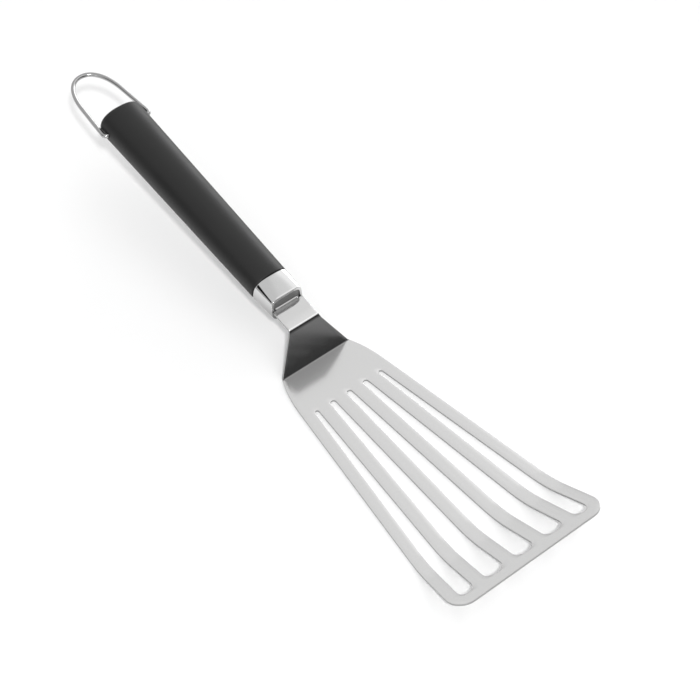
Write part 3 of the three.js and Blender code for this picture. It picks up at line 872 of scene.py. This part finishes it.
def wirePath():
    w = wire
    half = gripHalf(w["hinge"]) + w["legClear"] + w["radius"]
    legEnd = half - w["legTaper"] * w["legLength"]
    line = []
    for i in range(w["footSteps"]):
        line.append((0, lerp(w["footEnd"], half - w["legBend"], i / w["footSteps"])))
    bendEnd = (w["legBend"], half - w["legTaper"] * w["legBend"])
    for i in range(w["bendSteps"]):
        t = i / w["bendSteps"]
        across = (1 - t) ** 2 * (half - w["legBend"]) + 2 * t * (1 - t) * half + t * t * bendEnd[1]
        line.append((t * t * bendEnd[0], across))
    for i in range(w["legSteps"]):
        share = i / w["legSteps"]
        line.append((lerp(bendEnd[0], w["legLength"], share), lerp(bendEnd[1], legEnd, share)))
    pull = (
        (w["legLength"], legEnd),
        (w["legLength"] + w["archPull"], legEnd - w["legTaper"] * w["archPull"]),
        (w["reach"], w["archCrown"]),
        (w["reach"], 0),
    )
    for i in range(w["archSteps"] + 1):
        t = i / w["archSteps"]
        weights = ((1 - t) ** 3, 3 * t * (1 - t) ** 2, 3 * t * t * (1 - t), t ** 3)
        line.append(tuple(sum(k * p[axis] for k, p in zip(weights, pull)) for axis in (0, 1)))
    line += [(x, -y) for x, y in reversed(line[:-1])]
    droop = Matrix.Rotation(-math.radians(w["droop"]), 4, "Y")
    foot = Matrix.Translation((w["hinge"], 0, w["lift"]))
    return [partFrame @ foot @ droop @ Vector((-x, y, 0)) for x, y in line]


def bentWireTree():
    tree, given, made = newTree("bentWire", ["Radius"], ["Sides"])
    toCurve = addNode(tree, "GeometryNodeMeshToCurve")
    ring = addNode(tree, "GeometryNodeCurvePrimitiveCircle")
    sweep = addNode(tree, "GeometryNodeCurveToMesh")
    tree.links.new(given["Path"], toCurve.inputs[0])
    tree.links.new(given["Radius"], ring.inputs["Radius"])
    tree.links.new(given["Sides"], ring.inputs["Resolution"])
    tree.links.new(toCurve.outputs[0], sweep.inputs["Curve"])
    tree.links.new(ring.outputs[0], sweep.inputs["Profile Curve"])
    sweep.inputs["Fill Caps"].default_value = True
    endTree(tree, sweep.outputs[0], given["Finish"], made)
    return tree


def makeLoop():
    points = wirePath()
    mesh = bpy.data.meshes.new("wirePath")
    mesh.from_pydata(points, [(i, i + 1) for i in range(len(points) - 1)], [])
    piece = addObject("wire_loop", mesh)
    values = {"Radius": wire["radius"] * mm, "Sides": wire["sides"], "Finish": wireSteel}
    runTree(piece, bentWireTree(), values)
    settle(piece)
    tidyNormals(piece.data, wire["sharpAngle"])
    hand(piece, "loop", "hang_loop")
    return piece


gripPiece = makeGrip()
loopPiece = makeLoop()
print("grip:", len(gripPiece.data.polygons), "faces, loop:", len(loopPiece.data.polygons), "faces")


# collar: the grip's oval turning into a flat-topped nose, cut off on a slope, and the plug in its mouth
collar = dict(
    rearHalf=11.2, noseHalf=10, rearHeight=8.45, noseTop=6.6, noseBottom=8.2, rearPower=3, nosePower=5,
    lowPower=3.4, wall=1.3, topLength=13.5, length=15.2, lipHeight=0.175, chinSlope=0.17, rear=0.3,
    rearRound=0.35, frontRound=0.3, innerRound=0.12, flatEdge=0.06, sides=160,
    roundSteps=4, bodySteps=15, boreSteps=6, solveSteps=6, sharpAngle=38,
)
plug = dict(
    back=10, gap=0.08, footStep=0.8, faceDepth=0.7, ledgeDepth=0.1, ledgeHeight=0.1, ledgeRise=0.28,
    ledgeHalf=7.4, slotHalf=7.3, slotGap=0.05, spareRear=4, spareFront=3, steps=8, far=40, upward=0.5,
    sharpAngle=30,
)
noseTop = Vector((collar["topLength"], collar["noseTop"]))
noseLip = Vector((collar["length"], collar["lipHeight"]))
noseDown = (noseLip - noseTop).normalized()
noseIn = Vector((noseDown.y, -noseDown.x))
slopeLength = (noseLip - noseTop).length


def frontStation(z):
    # sloped from the flat top down to the neck, a little steeper below it
    if z < noseLip.y:
        return noseLip.x + collar["chinSlope"] * (noseLip.y - z)
    return lerp(noseTop.x, noseLip.x, (noseTop.y - z) / (noseTop.y - noseLip.y))


def collarSection(station, inset):
    c = collar
    share = station / c["topLength"]
    above = lerp(c["rearHeight"], c["noseTop"], share) - inset
    below = lerp(c["rearHeight"], c["noseBottom"], share) - inset
    squarer = max(0, min(1, share))
    power = lerp(c["rearPower"], c["nosePower"], squarer)
    lowPower = lerp(c["rearPower"], c["lowPower"], squarer)
    half = lerp(c["rearHalf"], c["noseHalf"], station / c["length"]) - inset
    return half, above, below, power, lowPower


def collarRing(stationAt, inset):
    # stationAt gives a point's station from its height, so that a ring can lie on the sloped front
    ring = []
    for i in range(collar["sides"]):
        angle = 2 * math.pi * i / collar["sides"]
        c, s = math.cos(angle), math.sin(angle)
        z = 0
        for _ in range(collar["solveSteps"]):
            station = stationAt(z)
            half, above, below, power, lowPower = collarSection(station, inset)
            bend = 2 / (power if s >= 0 else lowPower)
            y = half * math.copysign(abs(c) ** bend, c)
            z = (above if s >= 0 else below) * math.copysign(abs(s) ** bend, s)
        ring.append(Vector((station, y, z)))
    return ring


def makeCollar():
    c = collar
    rings = []
    for i in range(c["roundSteps"] + 1):
        turn = math.pi / 2 * i / c["roundSteps"]
        rearAt = c["rear"] + c["rearRound"] * (1 - math.sin(turn))
        rings.append(collarRing(lambda z: rearAt, c["rearRound"] * (1 - math.cos(turn))))
    rings.reverse()
    bodyFrom = c["rear"] + c["rearRound"]
    for i in range(1, c["bodySteps"] + 1):
        share = i / c["bodySteps"]
        rings.append(collarRing(lambda z: lerp(bodyFrom, frontStation(z) - c["frontRound"], share), 0))
    for i in range(1, c["roundSteps"] + 1):
        turn = math.pi / 2 * i / c["roundSteps"]
        setBack = c["frontRound"] * (1 - math.sin(turn))
        rings.append(collarRing(lambda z: frontStation(z) - setBack, c["frontRound"] * (1 - math.cos(turn))))
    mouth = c["wall"] - c["innerRound"]
    for inset in (c["frontRound"] + c["flatEdge"], mouth - c["flatEdge"], mouth):
        rings.append(collarRing(frontStation, inset))

    def boreFront(z):
        return frontStation(z) - c["innerRound"]

    for i in range(c["boreSteps"] + 1):
        share = i / c["boreSteps"]
        rings.append(collarRing(lambda z: lerp(boreFront(z), c["rear"], share), c["wall"]))
    piece = addObject("steel_collar", skin("steel_collar", rings, wrap=True), collarSteel)
    piece.data.transform(partFrame)
    tidyNormals(piece.data, c["sharpAngle"])
    hand(piece, "utensil", "collar")
    return piece


def nosePoint(down, depth):
    return noseTop + noseDown * down + noseIn * depth


def makePlug():
    p = plug
    inset = collar["wall"] + p["gap"]
    rear = p["back"] - p["spareRear"]
    front = collar["length"] + p["spareFront"]
    rings = [collarRing(lambda z: lerp(rear, front, i / p["steps"]), inset) for i in range(p["steps"] + 1)]
    poles = [Vector((rear, 0, 0)), Vector((front, 0, 0))]
    piece = addObject("mouth_plug", skin("mouth_plug", rings, poles), plugSteel)
    piece.data.materials.append(collarSteel)
    tidyNormals(piece.data, p["sharpAngle"])
    far = p["far"]
    thin = sheet["thickness"] / 2 + p["slotGap"]
    low, high = -thin - sheet["tangDrop"], thin - sheet["tangDrop"]
    toNeck = slopeLength + (high - noseLip.y) / noseDown.y
    faceTop = (p["back"] - noseTop.x - noseIn.x * p["faceDepth"]) / noseDown.x
    ledgeTo = nosePoint(toNeck - p["ledgeHeight"], p["ledgeDepth"])
    ledgeFrom = nosePoint(toNeck - p["ledgeHeight"] - p["ledgeRise"], p["faceDepth"])
    foot = collar["length"] - p["footStep"]
    faceFoot = (nosePoint(toNeck, p["faceDepth"]).x, high)
    faceHead = nosePoint(faceTop, p["faceDepth"])
    side = [(p["back"], -far), (foot, -far), (foot, high), faceFoot, ledgeFrom, faceHead]
    profile = solidBetween("profile", side, lambda q, end: Vector((q[0], far * (2 * end - 1), q[1])))
    cutWith(piece, [profile], "INTERSECT")
    ledgeFoot = (nosePoint(toNeck, p["ledgeDepth"]).x, high)
    step = [(p["back"], high), ledgeFoot, ledgeTo, ledgeFrom, (p["back"], ledgeFrom.y)]
    ledge = solidBetween("ledge", step, lambda q, end: Vector((q[0], p["ledgeHalf"] * (2 * end - 1), q[1])))
    cutWith(piece, [ledge], "UNION")
    tang = [(-p["slotHalf"], low), (p["slotHalf"], low), (p["slotHalf"], high), (-p["slotHalf"], high)]
    tangCut = solidBetween("tangCut", tang, lambda q, end: Vector((far * end, q[0], q[1])))
    cutWith(piece, [tangCut])
    # the ledge is polished like the collar
    for face in piece.data.polygons:
        if ledgeTo.y < face.center.z < ledgeFrom.y and face.normal.z > p["upward"]:
            face.material_index = 1
    piece.data.transform(partFrame)
    tidyNormals(piece.data, p["sharpAngle"])
    hand(piece, "utensil", "neck_plug")
    return piece


collarPiece = makeCollar()
plugPiece = makePlug()
print("collar:", len(collarPiece.data.polygons), "faces, plug:", len(plugPiece.data.polygons), "faces")

for name, material in dict(handle_core=nylon, tang_pin_front=pinSteel, tang_pin_rear=pinSteel).items():
    nodes[name].data.materials.clear()
    nodes[name].data.materials.append(material)
print("finishes on the hidden nodes")
